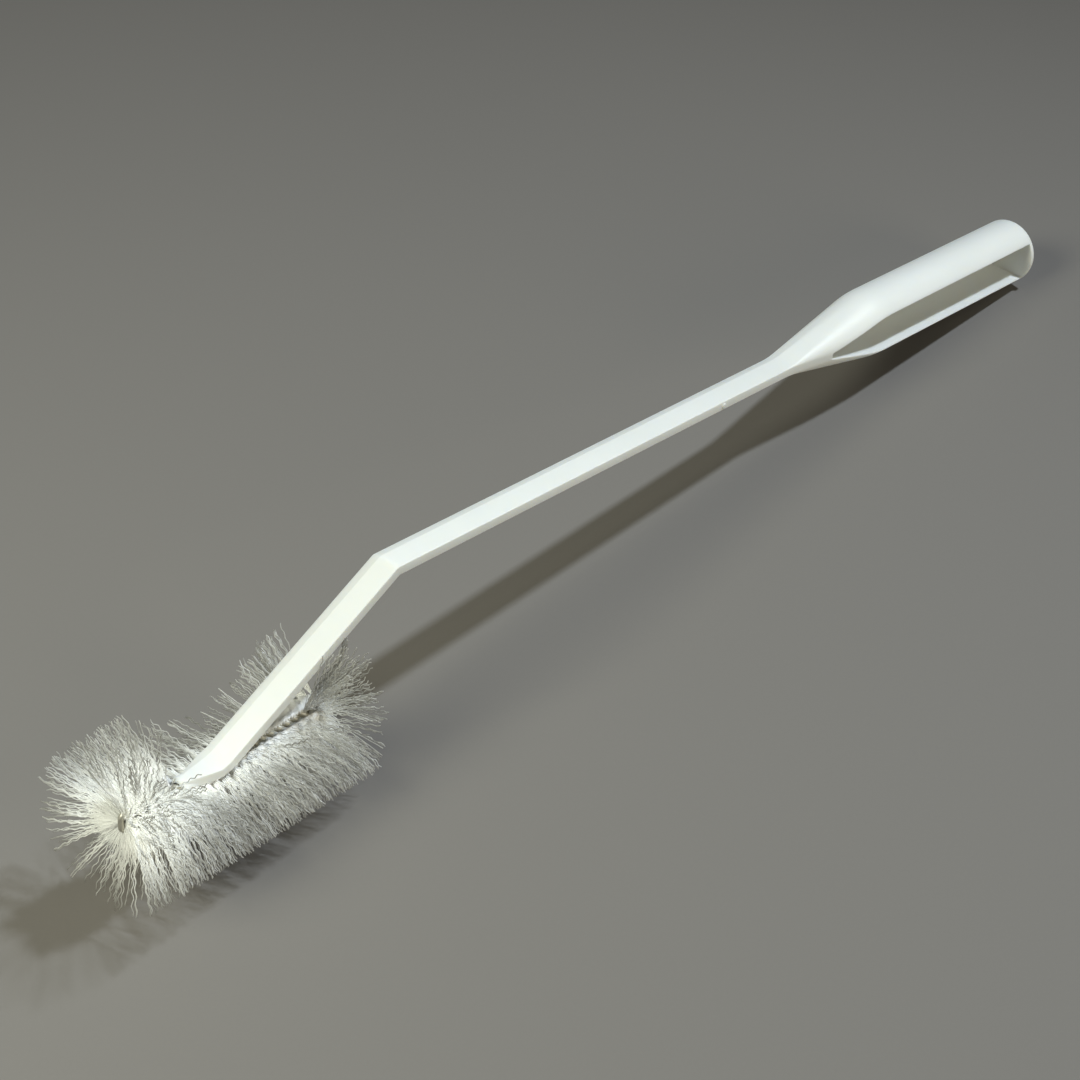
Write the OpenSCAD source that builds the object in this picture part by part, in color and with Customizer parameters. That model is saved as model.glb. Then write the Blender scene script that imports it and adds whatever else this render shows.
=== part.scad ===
// Bottle brush: a cranked one-piece plastic handle with a pocketed round grip,
// moulded at its foot around a folded and twisted wire that holds the bristles.
// The brush lies as it rests on a table: on the end of the grip and on the
// bristles under the near end of the head. Millimetres.

/* [Grip] */
// Outer diameter of the grip
grip_d = 25; // [22:0.5:32]
// Length of the round part of the grip, end wall included
grip_l = 102.2; // [70:0.1:140]
// Thickness of the closed end
end_wall = 2; // [1.2:0.1:4]
// Height of the pocket that is open along the side
pocket_h = 14.6; // [10:0.1:15.5]
// Wall left behind the pocket
pocket_wall = 2; // [1.2:0.1:3]

/* [Neck] */
// Length of the cone that joins the stem to the grip
neck_l = 50.5; // [35:0.5:70]
// Solid stretch of the neck before the pocket starts
neck_solid_l = 21; // [16:0.5:26]
// Height of the pocket where it starts in the neck
pocket_start_h = 2.1; // [1.4:0.1:4]

/* [Stem] */
// Height of the flat stem
stem_h = 3.4; // [2.8:0.1:4.2]
// Width of the flat part of the stem
stem_flat_w = 7.6; // [6:0.1:9]
// How far the pointed edge stands out from the flat part
stem_nose = 3.7; // [1:0.1:5]
// Stem from the bend to the neck
upper_stem_l = 200; // [150:0.5:240]
// Stem from the bend to the middle of the foot
lower_stem_l = 82.3; // [76:0.1:100]
// Angle of the bend
bend_angle = 32.3; // [28:0.1:36]
// Distance from the bend to the mark left by the moulding gate
gate_s = 160; // [20:1:180]
// Diameter of the gate mark
gate_d = 2; // [1:0.1:2.6]
// How far the gate mark stands out
gate_rise = 0.4; // [0.2:0.1:0.8]

/* [Foot] */
// Angle between the lower stem and the wire
head_angle = 28.9; // [25:0.1:33]
// Diameter of the boss moulded around the wire
foot_d = 6.8; // [6:0.1:8]
// Length of the boss
foot_l = 21; // [17:0.5:24]
// Chamfer at the ends of the boss
foot_chamfer = 1.2; // [0.4:0.1:1.5]

/* [Wire] */
// Diameter of the wire
wire_d = 2; // [1.6:0.1:2.2]
// Length of one full twist of the two strands
twist_pitch = 6.5; // [5.8:0.1:7]
// Height of the folded end across the wire
fold_h = 8; // [7:0.1:9]
// Length of the folded end along the wire
fold_l = 5; // [4.8:0.1:6]
// Distance from the middle of the foot to the end of the fold
tip_l = 32.6; // [32:0.1:36]
// Distance from the middle of the foot to the cut ends of the wire
tail_l = 47; // [46.5:0.1:60]

/* [Bristles] */
// Diameter of the brush head
head_d = 54; // [46:1:60]
// Radius left where the bristles are pressed against the table
pressed_r = 24.1; // [21.5:0.1:26]
// Distance from the middle of the foot to the last bristle root near the bend
roots_end = 46; // [45:0.1:46.5]
// Number of full twists of wire that hold bristles
turn_count = 11; // [9:1:11]
// Number of tufts along one strand in one full twist
tufts_per_twist = 18; // [15:1:25]
// Circle around a three-sided tuft
tuft_d = 0.85; // [0.6:0.05:0.9]
// Thickness of the packed roots around the wire
root_wall = 1.2; // [0.8:0.1:1.6]
// Share of each twist that the packed roots cover
root_share = 0.62; // [0.4:0.01:0.9]
// Angle from straight up that bristles are folded down to on the stem's pointed side
folded_far = 92; // [80:1:95]
// Angle from straight up that bristles are folded down to on the stem's flat side
folded_near = 66; // [62:1:75]
// Distance from the middle of the foot to where the flat side's bristles stand up again
folded_end = 36; // [30:1:42]
// Lean of the last bristles at the tip
tip_lean = 22; // [0:1:30]
// Lean of the last bristles at the end near the bend
tail_lean = 9; // [0:1:20]

/* [Hidden] */
// Running gap between the wire and what is around it
fit_gap = 0.05;
// Overlap that makes two solids of one moulding fuse
fuse = 0.02;
// Room kept between the bristles and the stem
stem_room = 1;
// Room kept between the bristles and the table
table_room = 0.02;
// Share of the twist's length that its bristles fan out over
fan_share = 0.9;
// Height of the stem's cut end over the wire's axis, as a share of the boss's radius
stem_end_share = 0.4;
// Facets of a smooth circle, of the circle at a hull's end and of a small circle
round_fn = 48;
hull_fn = 32;
small_fn = 18;
// Sides of the packed roots
ring_fn = 12;
// Facets around the wire at the fold, around one twisted strand, and slices in one full twist
fold_fn = 13;
strand_fn = 6;
twist_slices = 8;

turn_names = [for (i = [1:turn_count]) str("bristle_turn_", i < 10 ? "0" : "", i)];

grip_r = grip_d / 2;
head_r = head_d / 2;
foot_r = foot_d / 2;
wire_r = wire_d / 2;
tuft_r = tuft_d / 2;
pocket_back = grip_r - pocket_wall;
shoulder_s = upper_stem_l + neck_l;
grip_end_s = shoulder_s + grip_l;
pocket_start_s = upper_stem_l + neck_solid_l;
stem_w = stem_flat_w + stem_nose;
twisted_r = 2 * wire_r - fuse / 2;
bore_r = twisted_r + fit_gap;

// Angle of the wire above the grip's own axis, seen from the side
wire_rise = bend_angle - head_angle;
// Middle of the foot, in the handle's frame: the bend at zero, the grip along +X
foot_x = -lower_stem_l * cos(bend_angle);
foot_z = -lower_stem_l * sin(bend_angle);
// Run and drop from the pressed end of the head to the lowest edge of the grip
rest_dx = grip_end_s - (foot_x + tail_l * cos(wire_rise));
rest_dz = foot_z + tail_l * sin(wire_rise) + grip_r;
// Lean that puts both of them on the table
lean = atan2(rest_dx, rest_dz) - acos(pressed_r / norm([rest_dx, rest_dz]));
bend_z = grip_end_s * sin(lean) + grip_r * cos(lean);
// Fall of the wire towards the bend, and height of its axis at the foot
wire_fall = lean - wire_rise;
foot_height = bend_z - foot_x * sin(lean) + foot_z * cos(lean);
// Furthest reach of the bristles past the tip, along the wire
last_root = roots_end - (turn_count - 0.5 + fan_share * root_share / 2) * twist_pitch;
front_reach = last_root - (head_r - wire_r) * tan(tip_lean) - tuft_r;
// Ends of the brush along X, which put the origin in the middle
tip_x = foot_x * cos(lean) + foot_z * sin(lean) + front_reach * cos(wire_fall)
    - head_r * sin(wire_fall);
grip_end_x = grip_end_s * cos(lean) + grip_r * sin(lean);
centre_x = (tip_x + grip_end_x) / 2;

// Puts the handle's frame where the brush rests
module at_rest() {
    translate([-centre_x, 0, bend_z]) rotate([0, lean, 0]) children();
}

// Puts the wire's frame in the handle's: the foot at zero, +X along the wire to its cut ends
module at_foot() {
    translate([foot_x, 0, foot_z]) rotate([0, -wire_rise, 0]) children();
}

// ---- handle ----

// Section of the stem, across and up: flat towards -Y, pointed towards +Y
function stem_section(shrink = 0) = [
    [-stem_w / 2 + shrink, -stem_h / 2 + shrink],
    [stem_w / 2 - stem_nose, -stem_h / 2 + shrink],
    [stem_w / 2 - shrink, 0],
    [stem_w / 2 - stem_nose, stem_h / 2 - shrink],
    [-stem_w / 2 + shrink, stem_h / 2 - shrink]
];

// The stem's section at a place along the handle, stretched where the plane across it is tilted
function station(place, tilt, stretch) = [
    for (p = stem_section())
        place + [0, p.x, 0] + p.y * stretch * [-sin(tilt), 0, cos(tilt)]
];

// Section of the pocket: straight sides towards -Y, a round back towards +Y
module pocket_section(fn) {
    intersection() {
        translate([-2 * grip_r, -pocket_h / 2]) square([4 * grip_r, pocket_h]);
        union() {
            circle(r = pocket_back, $fn = fn);
            translate([-grip_r - end_wall, -grip_r]) square([grip_r + end_wall, grip_d]);
        }
    }
}

// Extrudes a section of the handle along +X
module along_x(from, to) {
    translate([from, 0, 0]) rotate([90, 0, 90]) linear_extrude(height = to - from) children();
}

// Both runs of the stem, mitred at the bend; it ends inside the boss, above the wire's axis
module stem() {
    end_s = lower_stem_l + foot_r;
    end_h = foot_r * stem_end_share;
    far = 2 * lower_stem_l;
    points = concat(
        station(-end_s * [cos(bend_angle), 0, sin(bend_angle)], bend_angle, 1),
        station([0, 0, 0], bend_angle / 2, 1 / cos(bend_angle / 2)),
        station([upper_stem_l, 0, 0], 0, 1)
    );
    n = len(stem_section());
    sides = [for (k = [0, n]) for (i = [0:n - 1]) [k + i, k + n + i, k + n + (i + 1) % n, k + (i + 1) % n]];
    ends = [[for (i = [0:n - 1]) i], [for (i = [n - 1:-1:0]) 2 * n + i]];
    difference() {
        polyhedron(points, concat(ends, sides));
        at_foot() translate([-far / 2, -far / 2, end_h - far]) cube(far);
    }
    translate([gate_s, -stem_w / 2 + fuse, 0]) rotate([90, 0, 0])
        cylinder(d = gate_d, h = gate_rise + fuse, $fn = small_fn);
}

module neck() {
    hull() {
        along_x(upper_stem_l - fuse, upper_stem_l) polygon(stem_section(fuse));
        along_x(shoulder_s, shoulder_s + fuse) circle(r = grip_r - fuse, $fn = 2 * hull_fn);
    }
}

module pocket() {
    along_x(shoulder_s, grip_end_s - end_wall) pocket_section(round_fn);
    start_back = stem_w / 2 + (grip_r - stem_w / 2) * neck_solid_l / neck_l - pocket_wall;
    hull() {
        along_x(pocket_start_s, pocket_start_s + fuse)
            translate([-2 * grip_r, -pocket_start_h / 2])
                square([2 * grip_r + start_back, pocket_start_h]);
        along_x(shoulder_s, shoulder_s + fuse) pocket_section(hull_fn);
    }
}

// Boss around the wire, chamfered at both ends
module foot_boss() {
    translate([-foot_l / 2, 0, 0]) rotate([0, 90, 0]) rotate_extrude($fn = round_fn)
        polygon([
            [0, 0],
            [foot_r - foot_chamfer, 0],
            [foot_r, foot_chamfer],
            [foot_r, foot_l - foot_chamfer],
            [foot_r - foot_chamfer, foot_l],
            [0, foot_l]
        ]);
}

module handle() {
    color([0.89, 0.91, 0.90]) at_rest() difference() {
        union() {
            stem();
            neck();
            along_x(shoulder_s, grip_end_s) circle(r = grip_r, $fn = round_fn);
            at_foot() foot_boss();
        }
        pocket();
        at_foot() translate([-foot_l, 0, 0]) rotate([0, 90, 0])
            cylinder(r = bore_r, h = 2 * foot_l, $fn = small_fn);
    }
}

// ---- wire ----

// Half of the folded end: a tight half turn of wire with a short straight leg on each side
module half_fold(bend_r, leg) {
    translate([0, 0, leg]) rotate([90, 0, 0])
        rotate_extrude(angle = 180, $fn = small_fn)
            translate([bend_r, 0]) circle(r = wire_r, $fn = fold_fn);
    for (side = [-1, 1])
        translate([side * bend_r, 0, -fuse]) cylinder(r = wire_r, h = leg + 2 * fuse, $fn = fold_fn);
}

// One wire folded in half at the tip, its two strands twisted together
module spine_wire() {
    bend_r = fold_l / 2 - wire_r;
    leg = fold_h / 2 - wire_r - bend_r;
    fold_x = -tip_l + fold_l / 2;
    twist_l = tail_l - (fold_x + bend_r);
    turns = twist_l / twist_pitch;
    color([0.62, 0.61, 0.58]) at_rest() at_foot() {
        translate([fold_x + bend_r, 0, 0]) rotate([0, 90, 0])
            linear_extrude(height = twist_l, twist = -360 * turns, slices = ceil(turns * twist_slices))
                for (side = [-1, 1])
                    translate([side * (wire_r - fuse / 2), 0]) circle(r = wire_r, $fn = strand_fn);
        for (flip = [0, 180]) translate([fold_x, 0, 0]) rotate([flip, 0, 0]) half_fold(bend_r, leg);
    }
}

// ---- bristles ----

// Height of the stem's underside over the wire's axis, at a distance along the wire
function stem_over(x) = x * tan(head_angle) - stem_h / 2 / cos(head_angle);

// Angle from straight up that passes under the stem's edge
function under_stem(x) = atan2(stem_w / 2 + stem_room, max(stem_over(x), fuse));

// Angle from straight up that the handle keeps clear of bristles, on its far and near side
function cleared(x, far) =
    x < -foot_l / 2 - tuft_r ? 0
    : far ? folded_far
    : x < -foot_r ? folded_near
    : x < folded_end ? max(folded_near, under_stem(x))
    : under_stem(x);

// Radius where the packed roots start: on the wire, or on the boss around it
function root_r(x) = (abs(x) < foot_l / 2 + twist_pitch / 2 ? foot_r : twisted_r) + fit_gap;

// Lean of a bristle along the wire, growing towards both ends of the head
function lean_at(share) =
    share < 0.5 ? -tip_lean * pow(1 - 2 * share, 3) : tail_lean * pow(2 * share - 1, 3);

// Height over the table of a point given in the wire's frame
function height_of(p) = foot_height - p.x * sin(wire_fall) + p.z * cos(wire_fall);

// A tuft from its root to the head's outer radius, or to the table where that comes first
module tuft(root_x, root, around, tilt) {
    dir = [sin(tilt), cos(tilt) * sin(around), cos(tilt) * cos(around)];
    start = [root_x, root * sin(around), root * cos(around)];
    fall = -height_of(dir) + height_of([0, 0, 0]);
    full = (head_r - root) / cos(tilt);
    floor_gap = table_room + tuft_r * sqrt(1 - fall * fall);
    len = fall > 0 ? min(full, (height_of(start) - floor_gap) / fall) : full;
    translate(start) rotate([0, 0, atan2(dir.y, dir.x)]) rotate([0, acos(dir.z), 0])
        cylinder(r = tuft_r, h = len, $fn = 3);
}

// Packed roots of one twist: a ring around the wire, or an arc where the boss is in the way
module root_ring(x, inner, gap) {
    width = root_share * twist_pitch;
    corner = 1 / cos(180 / ring_fn);
    reach = 4 * (inner + root_wall);
    translate([x - width / 2, 0, 0]) rotate([90, 0, 90]) linear_extrude(height = width)
        difference() {
            circle(r = (inner + root_wall) * corner, $fn = ring_fn);
            circle(r = inner * corner, $fn = ring_fn);
            if (gap > 0) polygon([
                [0, 0],
                [reach * sin(gap), reach * cos(gap)],
                [0, reach],
                [-reach * sin(gap), reach * cos(gap)]
            ]);
        }
}

// Bristles held in one full twist of the wire: two rows, half a turn apart
module bristle_turn(i) {
    x = roots_end - (i + 0.5) * twist_pitch;
    inner = root_r(x);
    span = [for (end = [-1, 1]) x + end * twist_pitch / 2];
    clear_far = max([for (at = span) cleared(at, true)]);
    clear_near = max([for (at = span) cleared(at, false)]);
    on_boss = inner > twisted_r + 2 * fit_gap;
    color([0.93, 0.94, 0.92]) at_rest() at_foot() {
        root_ring(x, inner, on_boss ? clear_near : 0);
        for (k = [0:tufts_per_twist - 1]) for (side = [0, 180]) {
            step = (k + 0.5) / tufts_per_twist - 0.5;
            turned = (360 * step + side + 540) % 360 - 180;
            clear = turned < 0 ? clear_near : clear_far;
            around = (turned < 0 ? -1 : 1) * (clear + abs(turned) * (180 - clear) / 180);
            share = (i + 0.5 - step) / turn_count;
            spread = step * twist_pitch * fan_share;
            tilt = lean_at(1 - share) + atan(spread * (1 - root_share) / head_r);
            tuft(x + spread * root_share, inner + root_wall / 2, around, tilt);
        }
    }
}

handle();
spine_wire();
for (i = [0:turn_count - 1])
    bristle_turn(i);
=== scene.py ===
# %% [markdown]
# # A cranked bottle brush
#
# The object is a laboratory brush for washing bottles and cylinders. A plastic handle with a
# bend in it is moulded at its foot around a folded and twisted steel wire, and the wire grips
# some thousands of crimped nylon filaments. It lies on a table, on the end of its grip and on
# the bristles under that end of its head which is nearer to the grip.
#
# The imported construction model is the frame: every piece below is made in its space, in metres,
# and stands for one of its nodes.

import math

import bmesh
import bpy
import numpy as np
from mathutils import Matrix, Vector


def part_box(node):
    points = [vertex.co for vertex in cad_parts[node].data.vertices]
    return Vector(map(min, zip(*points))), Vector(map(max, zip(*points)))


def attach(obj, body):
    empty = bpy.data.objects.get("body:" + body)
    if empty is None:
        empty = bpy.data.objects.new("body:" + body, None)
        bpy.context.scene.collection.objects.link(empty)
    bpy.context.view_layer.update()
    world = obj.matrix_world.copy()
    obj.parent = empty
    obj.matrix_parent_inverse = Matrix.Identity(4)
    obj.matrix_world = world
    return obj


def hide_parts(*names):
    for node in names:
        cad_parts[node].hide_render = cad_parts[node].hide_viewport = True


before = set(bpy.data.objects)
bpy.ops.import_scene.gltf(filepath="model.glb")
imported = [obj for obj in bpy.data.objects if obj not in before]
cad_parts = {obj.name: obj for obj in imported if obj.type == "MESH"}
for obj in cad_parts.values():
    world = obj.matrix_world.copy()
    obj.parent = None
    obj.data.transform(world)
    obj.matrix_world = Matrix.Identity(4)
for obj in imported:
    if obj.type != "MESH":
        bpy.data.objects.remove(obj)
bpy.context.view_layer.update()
MM = 0.001
print("nodes:", ", ".join(sorted(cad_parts)))

# %% [markdown]
# ## Sizes
#
# The driving sizes are those of the real brush in millimetres. Two frames are used for making
# things. In the handle's frame the bend is at zero and the grip runs along +X. In the wire's
# frame the middle of the foot is at zero and the wire runs along +X to its cut ends. Both are
# turned and moved onto the table in the same way as in the construction model, and the last
# lines compare the result with the frame's own boxes.

# %% Driving sizes
GRIP_D, GRIP_L, END_WALL = 25.0, 102.2, 2.0
POCKET_H, POCKET_WALL, POCKET_START_H = 14.6, 2.0, 2.1
NECK_L, NECK_SOLID_L = 50.5, 21.0
STEM_H, STEM_FLAT_W, STEM_NOSE = 3.4, 7.6, 3.7
UPPER_STEM_L, LOWER_STEM_L = 200.0, 82.3
BEND_ANGLE, HEAD_ANGLE = math.radians(32.3), math.radians(28.9)
FOOT_D, FOOT_L, FOOT_CHAMFER = 6.8, 21.0, 1.2
WIRE_D, TWIST_PITCH, TIP_L, TAIL_L = 2.0, 6.5, 32.6, 47.0
HEAD_D, PRESSED_R, ROOTS_END, TURNS = 54.0, 24.1, 46.0, 11

GRIP_R, HEAD_R, FOOT_R, WIRE_R = GRIP_D / 2, HEAD_D / 2, FOOT_D / 2, WIRE_D / 2
SHOULDER = UPPER_STEM_L + NECK_L
GRIP_END = SHOULDER + GRIP_L
POCKET_START = UPPER_STEM_L + NECK_SOLID_L
STEM_W = STEM_FLAT_W + STEM_NOSE
print(f"across: stem {STEM_W:.1f} mm, grip {GRIP_D:.0f} mm, head {HEAD_D:.0f} mm")

# %% How the brush rests
wire_rise = BEND_ANGLE - HEAD_ANGLE
foot_x = -LOWER_STEM_L * math.cos(BEND_ANGLE)
foot_z = -LOWER_STEM_L * math.sin(BEND_ANGLE)
rest_dx = GRIP_END - (foot_x + TAIL_L * math.cos(wire_rise))
rest_dz = foot_z + TAIL_L * math.sin(wire_rise) + GRIP_R
lean = math.atan2(rest_dx, rest_dz) - math.acos(PRESSED_R / math.hypot(rest_dx, rest_dz))
bend_z = GRIP_END * math.sin(lean) + GRIP_R * math.cos(lean)


def turned(points, angle):
    """Points turned about Y, as the construction model turns them, by an angle in radians."""
    x, y, z = np.asarray(points, float).reshape(-1, 3).T
    c, s = math.cos(angle), math.sin(angle)
    return np.stack([x * c + z * s, y, z * c - x * s], axis=-1)


grip_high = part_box("handle")[1]
centre_x = GRIP_END * math.cos(lean) + GRIP_R * math.sin(lean) - grip_high.x / MM


def from_handle(points):
    """Handle's frame in millimetres to the part's frame in metres."""
    return (turned(points, lean) + [-centre_x, 0, bend_z]) * MM


def wire_to_handle(points):
    """Wire's frame to the handle's frame, both in millimetres."""
    return turned(points, -wire_rise) + [foot_x, 0, foot_z]


def from_wire(points):
    """Wire's frame in millimetres to the part's frame in metres."""
    return from_handle(wire_to_handle(points))


tail = from_wire([TAIL_L, 0, 0])[0]
print(f"lean {math.degrees(lean):.2f} degrees, bend {bend_z:.1f} mm above the table")
wire_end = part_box("spine_wire")[1].x
print(f"wire ends at x {tail[0]:.4f}; the frame's wire box ends at x {wire_end:.4f}")

# %% [markdown]
# ## The camera
#
# The camera stands at the brush end, to the open side of the grip's pocket, and looks down at
# about 39 degrees. Its place, aim and a small roll are given in metres and degrees. The lens
# follows from the width of the view: 2450 pixels of focal length in a picture 1080 pixels wide.

# %% Camera
IMAGE_W = 1080
FOCAL_PX = 2450
SENSOR_MM = 36.0
CAMERA_AT = Vector((-0.5180, -0.3985, 0.5318))
CAMERA_AIM = Vector((-0.0340, 0.0125, 0.0129))
CAMERA_ROLL = math.radians(2.17)

camera_data = bpy.data.cameras.new("camera")
camera_data.sensor_width = SENSOR_MM
camera_data.lens = FOCAL_PX * SENSOR_MM / IMAGE_W
camera_data.clip_start = 0.05
camera = bpy.data.objects.new("camera", camera_data)
bpy.context.scene.collection.objects.link(camera)
toward = (CAMERA_AIM - CAMERA_AT).to_track_quat("-Z", "Y").to_matrix().to_4x4()
camera.matrix_world = Matrix.Translation(CAMERA_AT) @ toward @ Matrix.Rotation(CAMERA_ROLL, 4, "Z")
bpy.context.scene.camera = camera
print(f"lens {camera_data.lens:.1f} mm, {(CAMERA_AIM - CAMERA_AT).length:.3f} m to its aim")

# %% [markdown]
# ## Helpers for materials
#
# A material is a small network of nodes. Colours are written as the usual sRGB hex values, and
# `paint` turns them to the linear values that the shader wants. `add_node` makes one node, sets
# its options and gives each named input a value or a link.

# %% Material helpers
def paint(hex_colour):
    """An sRGB hex colour as linear RGBA."""
    parts = [int(hex_colour[i:i + 2], 16) / 255 for i in (1, 3, 5)]
    linear = [c / 12.92 if c <= 0.04045 else ((c + 0.055) / 1.055) ** 2.4 for c in parts]
    return (*linear, 1.0)


def add_node(tree, kind, inputs=None, **options):
    """Adds a node; inputs maps an input's name or number to a value or to an output to link."""
    node = tree.nodes.new(kind)
    for name, value in options.items():
        setattr(node, name, value)
    for key, value in (inputs or {}).items():
        if isinstance(value, bpy.types.NodeSocket):
            tree.links.new(value, node.inputs[key])
        else:
            node.inputs[key].default_value = value
    return node


def new_material(name):
    """An empty node material and its shader, already joined to the output."""
    material = bpy.data.materials.new(name)
    material.use_nodes = True
    tree = material.node_tree
    tree.nodes.clear()
    shader = add_node(tree, "ShaderNodeBsdfPrincipled")
    add_node(tree, "ShaderNodeOutputMaterial", {"Surface": shader.outputs[0]})
    return material, tree, shader


def per_metre(millimetres):
    """The Scale that a noise needs for features of about this size, in an object in metres."""
    return 1 / (millimetres * MM)


print("a middle grey, #808080, is", round(paint("#808080")[0], 3), "in linear light")

# %% [markdown]
# ## The handle's plastic
#
# Bottle brush handles are moulded from polypropylene, left its own milky white. It is a soft,
# slightly waxy plastic: light goes a little way in, the gloss is low and broad, and large areas
# are never quite even, because the melt froze at different moments. So the colour drifts a
# little over centimetres, the roughness over millimetres, and a very fine bump stands for the
# spark-eroded mould. IOR 1.49 is polypropylene's own.

# %% Moulded polypropylene
SINK_MM, GRAIN_MM = 34.0, 0.9

polypropylene, tree, shader = new_material("moulded_polypropylene")
place = add_node(tree, "ShaderNodeTexCoord").outputs["Object"]
drift = add_node(tree, "ShaderNodeTexNoise",
                 {"Vector": place, "Scale": per_metre(SINK_MM), "Detail": 3.0, "Roughness": 0.5})
colour = add_node(tree, "ShaderNodeMix", {"Factor": drift.outputs["Fac"], 6: paint("#ebedea"),
                  7: paint("#f4f5f3")}, data_type="RGBA")
grain = add_node(tree, "ShaderNodeTexNoise",
                 {"Vector": place, "Scale": per_metre(GRAIN_MM), "Detail": 4.0, "Roughness": 0.6})
dull = add_node(tree, "ShaderNodeMapRange", {"Value": grain.outputs["Fac"], "From Min": 0.3,
                "From Max": 0.7, "To Min": 0.36, "To Max": 0.48})
bump = add_node(tree, "ShaderNodeBump", {"Height": grain.outputs["Fac"], "Strength": 0.12,
                "Distance": 0.00005})
tree.links.new(colour.outputs[2], shader.inputs["Base Color"])
tree.links.new(dull.outputs["Result"], shader.inputs["Roughness"])
tree.links.new(bump.outputs["Normal"], shader.inputs["Normal"])
shader.inputs["IOR"].default_value = 1.49
shader.inputs["Subsurface Weight"].default_value = 0.6
shader.inputs["Subsurface Radius"].default_value = (1.0, 0.93, 0.8)
shader.inputs["Subsurface Scale"].default_value = 2.0 * MM
print("made", polypropylene.name)

# %% [markdown]
# ## The wire's steel
#
# The spine is drawn steel wire with a thin galvanised coat, gone dull in washing. Drawing leaves
# fine lines along the wire and the zinc leaves a grey, cloudy colour, so the colour and the
# roughness drift over about a millimetre. It is a metal: metallic 1, with the default IOR.

# %% Galvanised steel
CLOUD_MM = 1.5

steel, tree, shader = new_material("galvanised_steel")
place = add_node(tree, "ShaderNodeTexCoord").outputs["Object"]
cloud = add_node(tree, "ShaderNodeTexNoise",
                 {"Vector": place, "Scale": per_metre(CLOUD_MM), "Detail": 5.0, "Roughness": 0.6})
colour = add_node(tree, "ShaderNodeMix", {"Factor": cloud.outputs["Fac"], 6: paint("#c4c1b6"),
                  7: paint("#dedbd0")}, data_type="RGBA")
dull = add_node(tree, "ShaderNodeMapRange", {"Value": cloud.outputs["Fac"], "From Min": 0.3,
                "From Max": 0.7, "To Min": 0.48, "To Max": 0.7})
bump = add_node(tree, "ShaderNodeBump", {"Height": cloud.outputs["Fac"], "Strength": 0.2,
                "Distance": 0.00004})
tree.links.new(colour.outputs[2], shader.inputs["Base Color"])
tree.links.new(dull.outputs["Result"], shader.inputs["Roughness"])
tree.links.new(bump.outputs["Normal"], shader.inputs["Normal"])
shader.inputs["Metallic"].default_value = 1.0
print("made", steel.name)

# %% [markdown]
# ## The bristles' nylon
#
# The filaments are crimped nylon, undyed. One filament is nearly clear; a few hundred together
# scatter the light and read as a soft white. Refraction through thousands of thin tubes would
# need far more bounces than a render has, and would go dark. So the camera sees a pale surface,
# and for shadow rays the same filament is partly open: the lamp reaches the filaments behind it
# and the shadow on the table stays pale, as with the real, clear nylon.
#
# Near the wire the filaments are packed and scatter light like snow; a single one further out
# lets what is behind it show. The colour paints this in: painted light, a near white, close to
# the wire, and painted shade, a grey, further out, by the distance from the wire's axis,
# measured with a cross product. Each filament is its own island of the mesh, so Random Per
# Island gives every one a slightly different white. IOR 1.53 is nylon's own, and drawn filament
# is fairly smooth.

# %% Crimped nylon filament
CLEAR_PACKED, CLEAR_LOOSE = 0.95, 0.82
# reach of the painted light around the wire, at the tip and elsewhere, and its fade to painted
# shade
PACKED_TIP_MM, PACKED_MM, LOOSE_MM = 13.0, 5.0, 13.0
on_axis, off_axis = from_wire([[0, 0, 0], [1, 0, 0]])
axis = (off_axis - on_axis) / MM

nylon, tree, shader = new_material("crimped_nylon_filament")
place = add_node(tree, "ShaderNodeTexCoord").outputs["Object"]
from_axis = add_node(tree, "ShaderNodeVectorMath", {0: place, 1: on_axis}, operation="SUBTRACT")
across = add_node(tree, "ShaderNodeVectorMath", {0: from_axis.outputs[0], 1: axis},
                  operation="CROSS_PRODUCT")
distance = add_node(tree, "ShaderNodeVectorMath", {0: across.outputs[0]}, operation="LENGTH")
along = add_node(tree, "ShaderNodeVectorMath", {0: from_axis.outputs[0], 1: axis},
                 operation="DOT_PRODUCT")
packed = add_node(tree, "ShaderNodeMapRange", {"Value": along.outputs["Value"],
                  "From Min": -24 * MM, "From Max": -6 * MM, "To Min": PACKED_TIP_MM * MM,
                  "To Max": PACKED_MM * MM})
beyond = add_node(tree, "ShaderNodeMath", {0: distance.outputs["Value"], 1: packed.outputs[0]},
                  operation="SUBTRACT")
loose = add_node(tree, "ShaderNodeMapRange", {"Value": beyond.outputs[0],
                 "From Max": LOOSE_MM * MM}, interpolation_type="SMOOTHSTEP")
island = add_node(tree, "ShaderNodeNewGeometry").outputs["Random Per Island"]
# painted light near the wire and painted shade further out, a little different per filament
root_white_painted_light = add_node(tree, "ShaderNodeMix", {"Factor": island, 6: paint("#f4f4f1"),
                        7: paint("#fdfdfa")}, data_type="RGBA")
outer_grey_painted_shade = add_node(tree, "ShaderNodeMix", {"Factor": island, 6: paint("#8b8984"),
                       7: paint("#c8c7c3")}, data_type="RGBA")
colour = add_node(tree, "ShaderNodeMix", {"Factor": loose.outputs[0], 6: root_white_painted_light.outputs[2],
                  7: outer_grey_painted_shade.outputs[2]}, data_type="RGBA")
dull = add_node(tree, "ShaderNodeMapRange", {"Value": island, "To Min": 0.28, "To Max": 0.42})
tree.links.new(colour.outputs[2], shader.inputs["Base Color"])
tree.links.new(dull.outputs["Result"], shader.inputs["Roughness"])
shader.inputs["IOR"].default_value = 1.53
shader.inputs["Subsurface Weight"].default_value = 0.3
shader.inputs["Subsurface Radius"].default_value = (1.0, 1.0, 0.95)
shader.inputs["Subsurface Scale"].default_value = 0.6 * MM

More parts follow.
